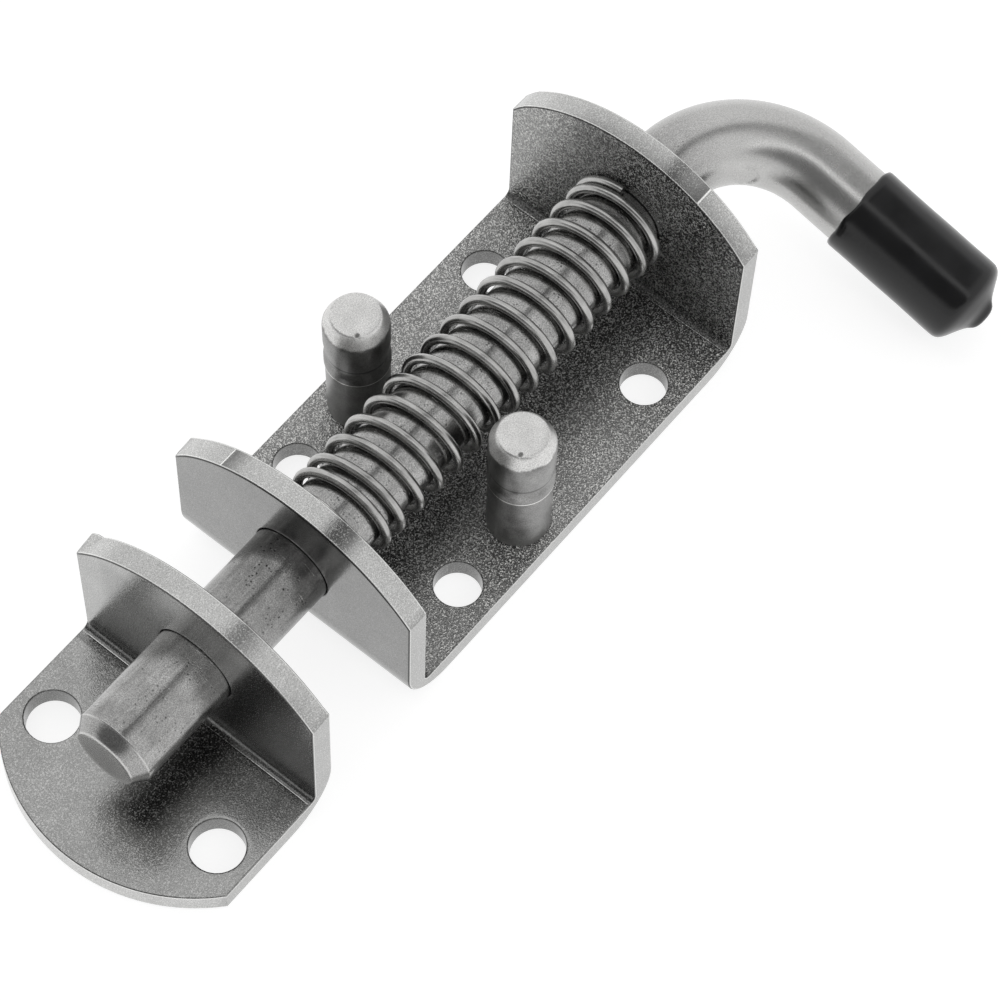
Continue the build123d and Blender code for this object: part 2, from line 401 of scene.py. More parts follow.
@dataclass(frozen=True)
class BarSteel:
    """Drawn round bar: streaks along it, pits and short scratches across it, a paler bend.

    The gap is a stretch between the ears with painted shade, bend is the stretch where the bar
    turns pale, and rims are painted highlight lines, all along the bar from its nose.
    """

    tone: float = 0.34
    bend_tone: float = 0.5
    gap: tuple[float, float] = (28.0, 47.0)
    bend: tuple[float, float] = (148.0, 160.0)
    rims: tuple[float, ...] = (0.14, 2.7)
    tint: Point = (1.0, 0.995, 0.98)

    def material(self) -> Material:
        """Build the material.

        Returns:
            The material.
        """
        sheet = NodeSheet(bpy.data.materials.new(Slot.BAR.value))
        bar = sheet.attribute("bar").outputs["Vector"]
        along = sheet.axes(bar)[0]
        bent = along.remap(*self.bend)
        shank = along.remap(2.4, 4.0) * bent.remap(0.0, 1.0, 1.0, 0.0)
        cloud = sheet.noise(bar, 0.22, 3.0)
        grit = sheet.noise(bar, 5.5, 1.5, 0.6)
        streak = sheet.noise(sheet.stretch(bar, (0.12, 1.0, 1.0)), 1.6, 3.0).swing() * shank
        pit = sheet.spots(bar, 1.2).remap(0.14, 0.26, 1.0, 0.0) * shank
        pit *= sheet.noise(bar, 0.35, 2.0).remap(0.46, 0.58)
        scratch = sheet.noise(sheet.stretch(bar, (5.0, 0.25, 0.25)), 1.0, 1.0).remap(0.66, 0.7)
        scratch *= sheet.noise(bar, 0.16, 1.0).remap(0.5, 0.58) * shank
        tone = cloud.swing() * shank * 0.12 + bent * (self.bend_tone - self.tone) + self.tone
        tone += streak * 0.07 + pit * -0.2 + scratch * 0.14
        # Painted shade on the stretch between the ears, deepening towards the front ear
        start, end = self.gap
        between = along.remap(start - 3, start) * along.remap(start, end, 0.25, 1.0)
        between *= along.remap(end, end + 1.5, 1.0, 0.0)
        tone += between * cloud.remap(0.35, 0.6) * -0.24
        tone *= grit.swing(0.4) * bent.remap(0.0, 1.0, 1.0, 0.4) + 1.0
        # Painted highlight lines on the nose's edges
        for rim in self.rims:
            tone += along.hill(rim, 0.08, 0.18) * 0.18
        rough = cloud.swing() * 0.06 + bent.remap(0.0, 1.0, 0.19, 0.26)
        height = streak * 0.4 + grit * 0.6 + pit * -1.5 + scratch * 0.8
        normal = sheet.bump(height, 0.022, 0.6)
        return sheet.dress(tone, self.tint, rough, normal)


@dataclass(frozen=True)
class WireSteel:
    """Bright drawn wire with fine lines along it."""

    tone: float = 0.42
    tint: Point = (1.0, 0.995, 0.975)

    def material(self) -> Material:
        """Build the material.

        Returns:
            The material.
        """
        sheet = NodeSheet(bpy.data.materials.new(Slot.WIRE.value))
        bar = sheet.attribute("bar").outputs["Vector"]
        streak = sheet.noise(sheet.stretch(bar, (0.15, 3.0, 3.0)), 1.5, 2.0)
        cloud = sheet.noise(bar, 0.4, 2.0)
        tone = cloud.swing() * 0.14 + streak.swing() * 0.12 + self.tone
        normal = sheet.bump(streak, 0.02, 0.5)
        rough = cloud.remap(0.3, 0.7, 0.2, 0.3)
        return sheet.dress(tone, self.tint, rough, normal)


@dataclass(frozen=True)
class TurnedSteel:
    """Turned studs: fine rings round them, a painted highlight line on the collar, a painted
    highlight over the top, and painted shade in the waist and in a pit on the top.
    """

    tone: float = 0.27
    top_highlight_tone: float = 0.66
    top_z: float = 32.3
    collar_z: float = 20.15
    waist_z: float = 24.4
    tint: Point = (1.0, 0.995, 0.98)
    pits: tuple[Point, ...] = ((12.7, -15.8, 34.7), (12.8, 20.4, 34.7))

    def material(self) -> Material:
        """Build the material.

        Returns:
            The material.
        """
        sheet = NodeSheet(bpy.data.materials.new(Slot.TURNED.value))
        place = sheet.place()
        rings = sheet.noise(sheet.stretch(place, (0.05, 0.05, 4.0)), 1.0, 2.0)
        cloud = sheet.noise(place, 0.35, 3.0)
        grit = sheet.noise(place, 5.0, 1.0)
        z = sheet.axes(place)[2]
        # Painted highlight over the top
        top = (cloud.swing() * 0.8 + z).remap(self.top_z - 0.2, self.top_z + 0.2)
        # Painted shade in the pit on each top
        pit = sum(sheet.near(place, point, 0.2, 0.6) for point in self.pits)
        tone = cloud.swing() * 0.12 + top * (self.top_highlight_tone - self.tone) + pit * -0.5 + self.tone
        tone *= grit.remap(0.3, 0.7, 0.75, 1.25)
        # Painted highlight line on the collar
        tone += z.hill(self.collar_z, 0.16, 0.34)
        # Painted shade in the waist
        tone *= abs(z - self.waist_z).remap(0.15, 0.4, 0.5, 1.0)
        rough = cloud.remap(0.3, 0.7, 0.34, 0.44)
        normal = sheet.bump(rings * 1.2 + grit, 0.02, 0.6)
        normal = sheet.bump(pit * -1.0, 0.25, 1.0, normal)
        return sheet.dress(tone, self.tint, rough, normal)


@dataclass(frozen=True)
class DippedVinyl:
    """Glossy black vinyl with a faint orange peel."""

    tint: Point = (0.0075, 0.0075, 0.008125)
    shine: float = 0.42

    def material(self) -> Material:
        """Build the material.

        Returns:
            The material.
        """
        sheet = NodeSheet(bpy.data.materials.new(Slot.VINYL.value))
        place = sheet.place()
        cloud = sheet.noise(place, 0.2, 2.0)
        tone = cloud.remap(0.3, 0.7, 0.64, 1.0)
        rough = cloud.remap(0.3, 0.7, 0.17, 0.24)
        normal = sheet.bump(sheet.noise(place, 0.9, 2.0), 0.03, 0.4)
        sheet.feed(sheet.shader.inputs["Specular IOR Level"], self.shine)
        return sheet.dress(tone, self.tint, rough, normal, metallic=0.0)


# Meshes


def make_piece(
    bm: BMesh, name: str, finish: Material, body: Body, replaces: str
) -> bpy.types.Object:
    """Turn a shaped mesh into a shown piece.

    Args:
        bm: Mesh in millimetres, freed here.
        name: Name of the piece.
        finish: Material of the piece.
        body: CAD body that it rides on.
        replaces: CAD node that it stands for.

    Returns:
        The piece's object.
    """
    bmesh.ops.scale(bm, vec=(MM, MM, MM), verts=bm.verts)
    mesh = bpy.data.meshes.new(name)
    bm.to_mesh(mesh)
    bm.free()
    mesh.shade_smooth()
    mesh.set_sharp_from_angle(angle=SHARP_ANGLE)
    mesh.materials.append(finish)
    piece = bpy.data.objects.new(name, mesh)
    bpy.context.scene.collection.objects.link(piece)
    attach(piece, body.value)
    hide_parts(replaces)
    LOG.info("%s: %d faces", name, len(mesh.polygons))
    return piece


def extend(bm: BMesh, edges: list[BMEdge]) -> tuple[list[BMVert], list[BMEdge]]:
    """Extrude a ring of edges in place.

    Args:
        bm: Mesh of the ring.
        edges: Edges of the ring.

    Returns:
        The new ring's vertices and edges.
    """
    grown = bmesh.ops.extrude_edge_only(bm, edges=edges)["geom"]
    verts = [item for item in grown if isinstance(item, BMVert)]
    ring = set(verts)
    return verts, [e for e in grown if isinstance(e, BMEdge) and ring.issuperset(e.verts)]


def turn_about(pivot: Vector, axis: Vector, angle: float) -> Matrix:
    """Turn by an angle round an axis through pivot."""
    return Matrix.Translation(pivot) @ Matrix.Rotation(angle, 4, axis) @ Matrix.Translation(-pivot)


@dataclass(frozen=True)
class Ear:
    """Ear folded up at one end of a strip.

    Each burr is a place across the strip, its reach, and its rise on the outer and the inner face.
    """

    outer_x: float
    side: int
    crown_z: float
    burrs: tuple[Row, ...] = ()

    def burr(self, y: float, outer: bool) -> float:
        """Rise of the crown's edge at y where shearing left a burr or a dip.

        Args:
            y: Place across the strip.
            outer: True on the ear's outer face and False on its inner face.

        Returns:
            The rise.
        """
        rise = 0.0
        for place, reach, outer_rise, inner_rise in self.burrs:
            rise += (outer_rise if outer else inner_rise) * fall(0.0, reach, abs(y - place))
        return rise


@dataclass(frozen=True)
class RoundCut:
    """Round hole through a strip, with the rows and columns of the grid that it takes up."""

    centre: Point
    radius: float
    rows: tuple[int, int]
    columns: tuple[int, int]
    under_radius: float | None = None


@dataclass
class FoldedStrip:
    """Flat strip with ears folded up, shaped as rows of stations across its width.

    Across the strip lie side_cells columns for the plate's holes, bore_cells for the bores and
    side_cells again. The line_rows are distances from an ear's inner face to rows on the plate,
    with the depth of the pressed line there.
    """

    name: str = "folded_strip"
    node: str = "strip"
    ears: tuple[Ear, ...] = ()
    half_width: float = 25.99
    sheet: float = 4.5
    fold_inside: float = 1.3
    fold_outside: float = 10.6
    fold_reach: float = 7.0
    foot_z: float = 12.8
    shoulder_drop: float = 12.5
    edge_round: float = 0.38
    hole_round: float = 0.3
    cell: float = 1.25
    side_cells: int = 12
    bore_cells: int = 18
    rim_rows: int = 6
    foot_rows: int = 4
    fold_rows: int = 12
    bore_share: float = 0.74
    bore_r: float = 7.85
    rings: int = 4
    fold_line_y: float = 24.6
    grain: float = 1.0
    line_rows: Pairs = (
        (1.36, 0), (1.44, 0.05), (1.56, 0.05), (1.64, 0), (3.0, 0), (3.2, 0), (5.0, 0), (7.0, 0)
    )

    def __post_init__(self) -> None:
        """Start with an empty mesh."""
        self.bm = bmesh.new()

    def columns(self) -> list[float]:
        """Grid columns of the strip.

        Returns:
            Their positions across it, with the bore's cell among them.
        """
        reach = self.half_width - self.side_cells * self.cell
        left = spread(-self.half_width, -reach, self.side_cells)
        middle = spread(-reach, reach, self.bore_cells)
        return left + middle + [reach] + [-y for y in reversed(left)]

    def crown(self, ear: Ear, y: float) -> float:
        """Height of an ear's cut edge at y."""
        radius = (self.half_width**2 + self.shoulder_drop**2) / (2 * self.shoulder_drop)
        return ear.crown_z - radius + sqrt(radius**2 - y**2)

    def groove(self, depth: float, y: float) -> float:
        """Depth of the pressed line along a fold, fading out near the strip's sides."""
        return depth * fall(self.half_width - 1.6, self.half_width - 0.4, abs(y))

    def ear_stations(self, ear: Ear) -> list[Station]:
        """Stations from an ear's crown down through its fold to the plate.

        Args:
            ear: The ear.

        Returns:
            The stations in that order.
        """
        inner_x = ear.outer_x - ear.side * self.sheet
        stations: list[Station] = []
        shares = spread(1.0, self.bore_share, self.rim_rows)
        for share in shares + spread(self.bore_share, 0.0, self.bore_cells):
            stations.append(lambda y, share=share: self.ear_row(ear, inner_x, share, y))
        for share in spread(0.0, 1.0, self.foot_rows):
            outer_z = mix(self.foot_z, self.fold_outside, share)
            inner_z = mix(self.foot_z, self.sheet + self.fold_inside, share)
            stations.append(lambda y, row=(ear.outer_x, outer_z, inner_x, inner_z): row)
        for angle in spread(0.0, pi / 2, self.fold_rows) + [pi / 2]:
            out = ear.side * (1 - cos(angle))
            outer_x = ear.outer_x - self.fold_outside * out
            outer_z = self.fold_outside * (1 - sin(angle))
            fold_x = inner_x - self.fold_inside * out
            fold_z = self.sheet + self.fold_inside * (1 - sin(angle))
            stations.append(lambda y, row=(outer_x, outer_z, fold_x, fold_z): row)
        fold_end = self.fold_outside - self.sheet
        for index, (reach, depth) in enumerate(self.line_rows, start=1):
            under = mix(fold_end, self.fold_reach, index / len(self.line_rows))
            place = (inner_x - ear.side * under, inner_x - ear.side * reach)
            stations.append(
                lambda y, place=place, depth=depth:
                (place[0], 0, place[1], self.sheet - self.groove(depth, y))
            )
        return stations

    def ear_row(self, ear: Ear, inner_x: float, share: float, y: float) -> Row:
        """Row of an ear.

        Args:
            ear: The ear.
            inner_x: Place of its inner face.
            share: Share of the way from its foot to its crown.
            y: Place across the strip.

        Returns:
            The row's place at y.
        """
        crown_z = self.crown(ear, y)
        outer_z = mix(self.foot_z, crown_z + ear.burr(y, True), share)
        inner_z = mix(self.foot_z, crown_z + ear.burr(y, False), share)
        return ear.outer_x, outer_z, inner_x, inner_z

    def flat_station(self, x: float) -> Station:
        """Station straight across the plate at x."""
        return lambda y: (x, 0.0, x, self.sheet)

    def bore(self, ear: Ear, row: int) -> RoundCut:
        """Bore through an ear, in the cell that starts at a grid row."""
        cell = ((row, row + self.bore_cells), (self.side_cells, self.side_cells + self.bore_cells))
        return RoundCut((ear.outer_x, 0, AXIS_Z), self.bore_r, *cell)

    def hole_pair(
        self, place: tuple[float, float], radius: float, first_row: int, under: float | None = None
    ) -> list[RoundCut]:
        """Holes through the plate at both sides of the strip.

        Args:
            place: Position along the strip, and distance from its middle line.
            radius: Radius of both holes.
            first_row: First grid row of the cells that they take up.
            under: Radius on the plate's underside, where it differs.

        Returns:
            The two cuts.
        """
        rows = (first_row, first_row + self.side_cells)
        right = self.side_cells + self.bore_cells
        return [
            RoundCut((place[0], side * place[1], 0), radius, rows, columns, under)
            for side, columns in ((-1, (0, self.side_cells)), (1, (right, right + self.side_cells)))
        ]

    def skin(self, stations: list[Station], cuts: list[RoundCut]) -> None:
        """Lay the strip as a sheet, open its holes, thicken it and round its edges.

        Args:
            stations: Rows along the strip.
            cuts: Holes through it.
        """
        bm = self.bm
        columns = self.columns()
        rows_count, columns_count = len(stations) - 1, len(columns) - 1
        bmesh.ops.create_grid(bm, x_segments=rows_count, y_segments=columns_count, size=0.5)
        outer = bm.verts.layers.float_vector.new("outer")
        inner = bm.verts.layers.float_vector.new("inner")
        bm.verts.layers.int.new("hole")
        for name in MARKS:
            bm.verts.layers.float.new(name)
        bm.faces.layers.int.new("wall")
        for vert in bm.verts:
            row = round((vert.co.x + 0.5) * rows_count)
            column = round((vert.co.y + 0.5) * columns_count)
            y = columns[column]
            outer_x, outer_z, inner_x, inner_z = stations[row](y)
            vert[outer] = (outer_x, y, outer_z)
            vert[inner] = (inner_x, y, inner_z)
            vert.co = (row, column, 0)
        for cut in cuts:
            self.open_cut(cut)
        grown = bmesh.ops.extrude_face_region(bm, geom=bm.faces[:])["geom"]
        upper = {item for item in grown if isinstance(item, BMVert)}
        for vert in bm.verts:
            vert.co = vert[inner] if vert in upper else vert[outer]
        bmesh.ops.recalc_face_normals(bm, faces=bm.faces[:])
        self.round_edges(upper)

    def open_cut(self, cut: RoundCut) -> None:
        """Open one round hole in the grid and ring it with faces.

        Args:
            cut: The hole.
        """
        bm = self.bm
        outer, inner = (bm.verts.layers.float_vector[name] for name in ("outer", "inner"))
        hole = bm.verts.layers.int["hole"]
        (first_row, last_row), (first_column, last_column) = cut.rows, cut.columns
        inside = set()
        for face in bm.faces:
            x, y, _ = face.calc_center_median()
            if first_row < x < last_row and first_column < y < last_column:
                inside.add(face)
        rim = [edge for edge in bm.edges if sum(face in inside for face in edge.link_faces) == 1]
        kept = {vert for edge in rim for vert in edge.verts}
        middle = {vert for face in inside for vert in face.verts} - kept
        bmesh.ops.delete(bm, geom=list(middle), context="VERTS")
        centre = Vector(cut.centre)
        axis = 0 if centre.z > self.sheet else 2
        for step in range(self.rings):
            share = 1 / (self.rings - step)
            ring, rim = extend(bm, rim)
            for vert in ring:
                for layer, radius in ((inner, cut.radius), (outer, cut.under_radius or cut.radius)):
                    spoke = vert[layer] - centre
                    flat = spoke.copy()
                    flat[axis] = 0
                    goal = centre + flat.normalized() * radius + spoke - flat
                    vert[layer] = vert[layer].lerp(goal, share)
                if step == self.rings - 1:
                    vert[hole] = 1

    def shade(self, place: Vector) -> float:
        """Painted shade of the strip at a place, from 0 to 1."""
        return 0.0

    def mark(self, cuts: list[RoundCut]) -> None:
        """Mark where the strip's surface is grained, where shade is painted and where painted lines
        lie.

        Args:
            cuts: Its holes.
        """
        rim, line, cut, coarse, shade = (self.bm.verts.layers.float[name] for name in MARKS)
        holes = [(Vector(hole.centre[:2]), hole.radius) for hole in cuts if not hole.centre[2]]
        for vert in self.bm.verts:
            depth = min((ear.outer_x - vert.co.x) * ear.side - self.sheet for ear in self.ears)
            rise = vert.co.z - self.sheet
            on_edge = vert[cut] or vert[rim]
            inside = rise > -self.sheet / 2 and depth > -self.sheet / 2
            vert[coarse] = EDGE_GRAIN if on_edge else self.grain * float(inside)
            vert[shade] = self.shade(vert.co)
            # Painted shade in the inner curve of each fold and on the side walls
            if 0.02 < depth < self.fold_inside - 0.02 and 0.01 < rise < self.fold_inside:
                vert[shade] = FOLD_SHADE
            if self.half_width - abs(vert.co.y) < 0.05:
                vert[shade] = SIDE_SHADE
            if rise > 0.2:
                continue
            # The plate: painted shade on the hole walls, fainter painted dark edge lines, and along
            # each fold a painted dark line in the pressed groove beside a painted highlight
            if min((vert.co.xy - centre).length - radius for centre, radius in holes) < 0.32:
                vert[shade] = vert[cut]
                continue
            vert[line] *= 0.35
            if depth < 2.0 and abs(vert.co.y) < self.fold_line_y and rise > -self.sheet / 2:
                vert[line] = max(vert[line], float(1.4 < depth < 1.6))
                vert[rim] = max(vert[rim], 0.8 * float(1.33 < depth < 1.4))

    def round_edges(self, upper: set[BMVert]) -> None:
        """Round the strip's outline and the rims of its holes, and mark their painted highlights
        and dark lines.

        A bevel makes new faces, so the walls are marked on the faces and found again after it.

        Args:
            upper: Vertices of the upper side.
        """
        bm = self.bm
        hole = bm.verts.layers.int["hole"]
        rim, line, cut = (bm.verts.layers.float[name] for name in MARKS[:3])
        wall = bm.faces.layers.int["wall"]
        for face in bm.faces:
            face[wall] = int(len({vert in upper for vert in face.verts}) == 2)
        edges = [edge for edge in bm.edges if sum(face[wall] for face in edge.link_faces) == 1]
        outline = [edge for edge in edges if not all(vert[hole] for vert in edge.verts)]
        holes = [edge for edge in edges if all(vert[hole] for vert in edge.verts)]
        for group, size, steps in ((holes, self.hole_round, 2), (outline, self.edge_round, 4)):
            rounded = bmesh.ops.bevel(
                bm, geom=group, offset=size, offset_type="OFFSET", segments=steps, profile=0.5,
                affect="EDGES", clamp_overlap=False, material=-1,
            )
            faces = set(rounded["faces"])
            for face in faces:
                face[wall] = 0
            for vert in {vert for face in faces for vert in face.verts}:
                if not faces.issuperset(vert.link_faces):
                    continue
                others = [edge.other_vert(vert) for edge in vert.link_edges]
                by_wall = any(face[wall] for other in others for face in other.link_faces)
                # Painted highlight on the rounding beside a wall; painted dark line on the rest and
                # on hole rims
                vert[rim] = float(by_wall and steps > 2)
                vert[line] = float(not by_wall or steps == 2)
        for face in bm.faces:
            if face[wall]:
                for vert in face.verts:
                    vert[cut] = 1.0

    def show(self, stations: list[Station], cuts: list[RoundCut], finish: Material) -> None:
        """Shape the strip and show it in place of its CAD node.

        Args:
            stations: Rows along the strip.
            cuts: Holes through it.
            finish: Its material.
        """
        self.skin(stations, cuts)
        self.mark(cuts)
        piece = make_piece(self.bm, self.name, finish, Body.ROOT, self.node)
        piece.modifiers.new("flat_faces", "WEIGHTED_NORMAL").keep_sharp = True


@dataclass
class Bracket(FoldedStrip):
    """Base bracket: a strip folded up at both ends, with four screw holes and two rivet holes."""

    name: str = "folded_bracket"
    node: str = "base_bracket"
    ears: tuple[Ear, ...] = (
        Ear(-46.79, -1, 44.78, ((-26.0, 2.2, -0.7, -0.5), (26.0, 1.6, 0.25, 0.0))),
        Ear(48.7, 1, 42.98, ((-26.0, 2.5, -0.25, 0.3),)),
    )
    screw_x: float = 26.35
    screw_y: float = 18.45
    screw_r: float = 4.35
    post_x: float = 9.4
    post_y: float = 18.3
    tenon_r: float = 4.0
    flare_r: float = 5.0

    def shade(self, place: Vector) -> float:
        """Darkness of the bracket: painted shade below the bolt, near its ends and on the rear
        ear's inner face, and a dark patch on the front ear's crown.

        Args:
            place: Place on the bracket.

        Returns:
            The darkness from 0 to 1.
        """
        x, y, z = place
        # Painted shade on the plate below the bolt and towards its ends
        if z < self.sheet + 1.0:
            under = smoothstep(-19.0, -13.0, y) * fall(8.0, 21.0, y)
            ends = 0.35 * fall(-36.0, -22.0, x) + 0.25 * smoothstep(6.0, 20.0, x)
            return 0.75 * max(under, ends * smoothstep(-2.0, 6.0, y))
        # A dark patch on the front ear's crown
        if x > 0:
            crown = self.crown(self.ears[1], y)
            return 0.75 * fall(1.2, 3.2, abs(y - 9.5)) * smoothstep(crown - 1.2, crown - 0.5, z)
        if x < self.ears[0].outer_x + self.sheet - 0.6:
            return 0.0
        # Painted shade on the rear ear's inner face
        return 0.62 * smoothstep(-21.0, -9.0, y - (z - 25.0) * 0.2)

    def build(self, finish: Material) -> None:
        """Build the bracket.

        Args:
            finish: Its material.
        """
        half = self.side_cells / 2 * self.cell
        rear_ear, front_ear = self.ears
        rear, front = self.ear_stations(rear_ear), self.ear_stations(front_ear)
        flats: list[float] = []
        starts: list[int] = []
        last = rear_ear.outer_x + self.sheet + self.fold_reach
        for centre in (-self.screw_x, self.post_x, self.screw_x):
            gap = centre - half - last
            row = spread(last, centre - half, max(1, round(gap / self.cell)))
            flats += row if flats else row[1:]
            starts.append(len(rear) + len(flats))
            flats += spread(centre - half, centre + half, self.side_cells)
            last = centre + half
        flats += spread(last, front_ear.outer_x - self.sheet - self.fold_reach, 3)
        stations = rear + [self.flat_station(x) for x in flats] + front[::-1]
        bore_end = len(stations) - 1 - self.rim_rows
        cuts = [
            self.bore(rear_ear, self.rim_rows),
            self.bore(front_ear, bore_end - self.bore_cells),
            *self.hole_pair((-self.screw_x, self.screw_y), self.screw_r, starts[0]),
            *self.hole_pair((self.post_x, self.post_y), self.tenon_r, starts[1], self.flare_r),
            *self.hole_pair((self.screw_x, self.screw_y), self.screw_r, starts[2]),
        ]
        self.show(stations, cuts, finish)


@dataclass
class Keeper(FoldedStrip):
    """Keeper: a strip folded up once, with a round end and two screw holes."""

    name: str = "folded_keeper"
    node: str = "keeper"
    ears: tuple[Ear, ...] = (
        Ear(69.0, -1, 43.58, (
            (-25.6, 1.9, 1.3, 0.1), (-23.4, 1.2, -0.25, 0.0), (26.0, 1.5, 0.6, 0.0)
        )),
    )
    root_x: float = 73.5
    grain: float = 0.17
    arc_radius: float = 34.58
    start_x: float = 83.2
    hole_share: float = 0.72
    screw_x: float = 90.4
    screw_y: float = 18.7
    screw_r: float = 4.9

    def shade(self, place: Vector) -> float:
        """Darkness of the keeper: painted shade on its ear, beside its fold and beside the bolt's
        end.

        Args:
            place: Place on the keeper.

        Returns:
            The darkness from 0 to 1.
        """
        x, y, z = place
        depth = x - self.root_x
        # Painted shade on the ear's inner face, lighter near its crown and its -y side
        if z > self.sheet + 1.0:
            near_edge = smoothstep(35.0, 38.0, z) + fall(-21.0, -19.0, y)
            return 0.3 * (1 - min(near_edge, 1.0)) if depth > -0.6 else 0.0
        # Painted shade in a band on the plate beside the fold
        if 1.5 < depth < 3.1 and y < 24.2:
            return 0.5
        # Painted shade on the plate beside the bolt's end and towards its corner at +y
        beside = smoothstep(-2.0, 1.0, y) * fall(7.0, 15.0, y) * fall(94.0, 101.0, x)
        corner = 0.6 * smoothstep(4.0, 12.0, y) * fall(82.0, 88.0, x) * fall(22.0, 25.0, y)
        return 0.7 * max(beside, corner)

    def end_station(self, share: float) -> Station:
        """Station between a straight line and the plate's round end.

        Args:
            share: 0 for the straight line and 1 for the round end.

        Returns:
            The station.
        """
        def place(y: float) -> Row:
            """Row at y."""
            x = mix(self.start_x, self.root_x + sqrt(self.arc_radius**2 - y**2), share)
            return x, 0.0, x, self.sheet

        return place

    def build(self, finish: Material) -> None:
        """Build the keeper.

        Args:
            finish: Its material.
        """
        stations = self.ear_stations(self.ears[0])
        flat_x = self.root_x + self.fold_reach
        stations += [self.flat_station(x) for x in spread(flat_x, self.start_x, 2)[1:]]
        first = len(stations)
        shares = spread(0.0, self.hole_share, self.side_cells) + spread(self.hole_share, 1.0, 6)
        stations += [self.end_station(share) for share in shares + [1.0]]
        cuts = [
            self.bore(self.ears[0], self.rim_rows),
            *self.hole_pair((self.screw_x, self.screw_y), self.screw_r, first),
        ]
        self.show(stations, cuts, finish)


class BarSweep:
    """Ring of vertices carried along a bar's path, leaving the bar's skin behind it."""

    def __init__(self, bm: BMesh, centre: Vector, axis: Vector, radius: float, sides: int) -> None:
        """Lay the first ring with a cap.

        Args:
            bm: Mesh to build in.
            centre: Centre of the first ring.
            axis: Direction of the bar there.
            radius: Radius of the first ring.
            sides: Vertices in the ring.
        """
        self.bm = bm
        turn = axis.to_track_quat("Z", "Y").to_matrix().to_4x4()
        self.layer = bm.verts.layers.float_vector.new("bar")
        start = Matrix.Translation(centre) @ turn
        bmesh.ops.create_circle(bm, cap_ends=True, segments=sides, radius=radius, matrix=start)
        self.centre = centre.copy()
        self.edges = bm.edges[:]
        self.along = 0.0
        back = turn.inverted()
        for vert in bm.verts:
            flat = back @ (vert.co - centre)
            vert[self.layer] = (0, flat.x, flat.y)

    def advance(self, matrix: Matrix, length: float, factor: float = 1.0) -> None:
        """Carry the ring one step.

        Args:
            matrix: Move of the ring.
            length: Length of the step along the bar.
            factor: Growth of the ring's radius.
        """
        ring, self.edges = extend(self.bm, self.edges)
        if factor != 1.0:
            back = Matrix.Translation(-self.centre)
            bmesh.ops.scale(self.bm, vec=(factor, factor, factor), space=back, verts=ring)
        bmesh.ops.transform(self.bm, matrix=matrix, verts=ring)
        self.centre = matrix @ self.centre
        self.along += length
        for vert in ring:
            place = vert[self.layer]
            vert[self.layer] = (self.along, place[1] * factor, place[2] * factor)

    def run(self, direction: Vector, length: float, steps: int) -> None:
        """Carry the ring straight along direction in equal steps."""
        for _ in range(steps):
            self.advance(Matrix.Translation(direction * (length / steps)), length / steps)

    def turn(self, pivot: Vector, axis: Vector, angle: float, radius: float, steps: int) -> None:
        """Carry the ring round pivot by an angle, in equal steps."""
        for _ in range(steps):
            self.advance(turn_about(pivot, axis, angle / steps), radius * angle / steps)

    def close(self) -> None:
        """Cap the last ring."""
        bmesh.ops.contextual_create(self.bm, geom=self.edges)
        bmesh.ops.recalc_face_normals(self.bm, faces=self.bm.faces[:])


@dataclass
class BoltBar:
    """Bolt: a chamfered nose, a straight shank, a quarter bend with a press mark, and a handle."""

    nose_x: float = 96.1
    first_r: float = 1.4
    bend_start_x: float = -54.0
    bend_radius: float = 21.0
    handle_tilt: float = -14.5
    handle_length: float = 33.0
    dent: Point = (-63.7, 11.8, 21.6)
    dent_depth: float = 0.22
    sides: int = 96

    def side_direction(self) -> Vector:
        """Direction of the handle away from the bend."""
        tilt = radians(self.handle_tilt)
        return Vector((0, cos(tilt), sin(tilt)))

    def handle_start(self) -> Vector:
        """Point of the bar's middle line where the bend ends."""
        corner = Vector((self.bend_start_x - self.bend_radius, 0, AXIS_Z))
        return corner + self.side_direction() * self.bend_radius

    def press(self, bm: BMesh) -> None:
        """Press a shallow round mark with a raised rim into the inside of the bend.

        Args:
            bm: Mesh of the bolt.
        """
        bm.normal_update()
        for vert in bm.verts:
            off = (vert.co - Vector(self.dent)).length
            if off < 4.0:
                rise = exp(-(((off - 2.2) / 0.45) ** 2)) - fall(1.2, 2.0, off)
                vert.co += vert.normal * (self.dent_depth * rise)

    def build(self, finish: Material) -> None:
        """Build the bolt.

        Args:
            finish: Its material.
        """
        nose = (
            (96.1, 3.0), (96.1, 4.6), (96.1, 5.68), (96.08, 5.8), (96.02, 5.9), (95.92, 6.0),
            (95.2, 6.48), (94.4, 7.02), (93.62, 7.54), (93.5, 7.64), (93.4, 7.71),
            (93.25, BAR_R), (92.2, BAR_R), (91.0, BAR_R),
        )
        bm = bmesh.new()
        radius = self.first_r
        bar = BarSweep(bm, Vector((self.nose_x, 0, AXIS_Z)), ALONG_X, radius, self.sides)
        for x, next_radius in nose:
            step = bar.centre.x - x
            bar.advance(Matrix.Translation(-ALONG_X * step), max(step, 0.01), next_radius / radius)
            radius = next_radius
        bar.run(-ALONG_X, bar.centre.x - self.bend_start_x, 97)
        side = self.side_direction()
        pivot = bar.centre + side * self.bend_radius
        bar.turn(pivot, (-ALONG_X).cross(side), pi / 2, self.bend_radius, 60)
        bar.run(side, self.handle_length, 22)
        bar.close()
        self.press(bm)
        make_piece(bm, "bolt_bar", finish, Body.BOLT, "bolt")


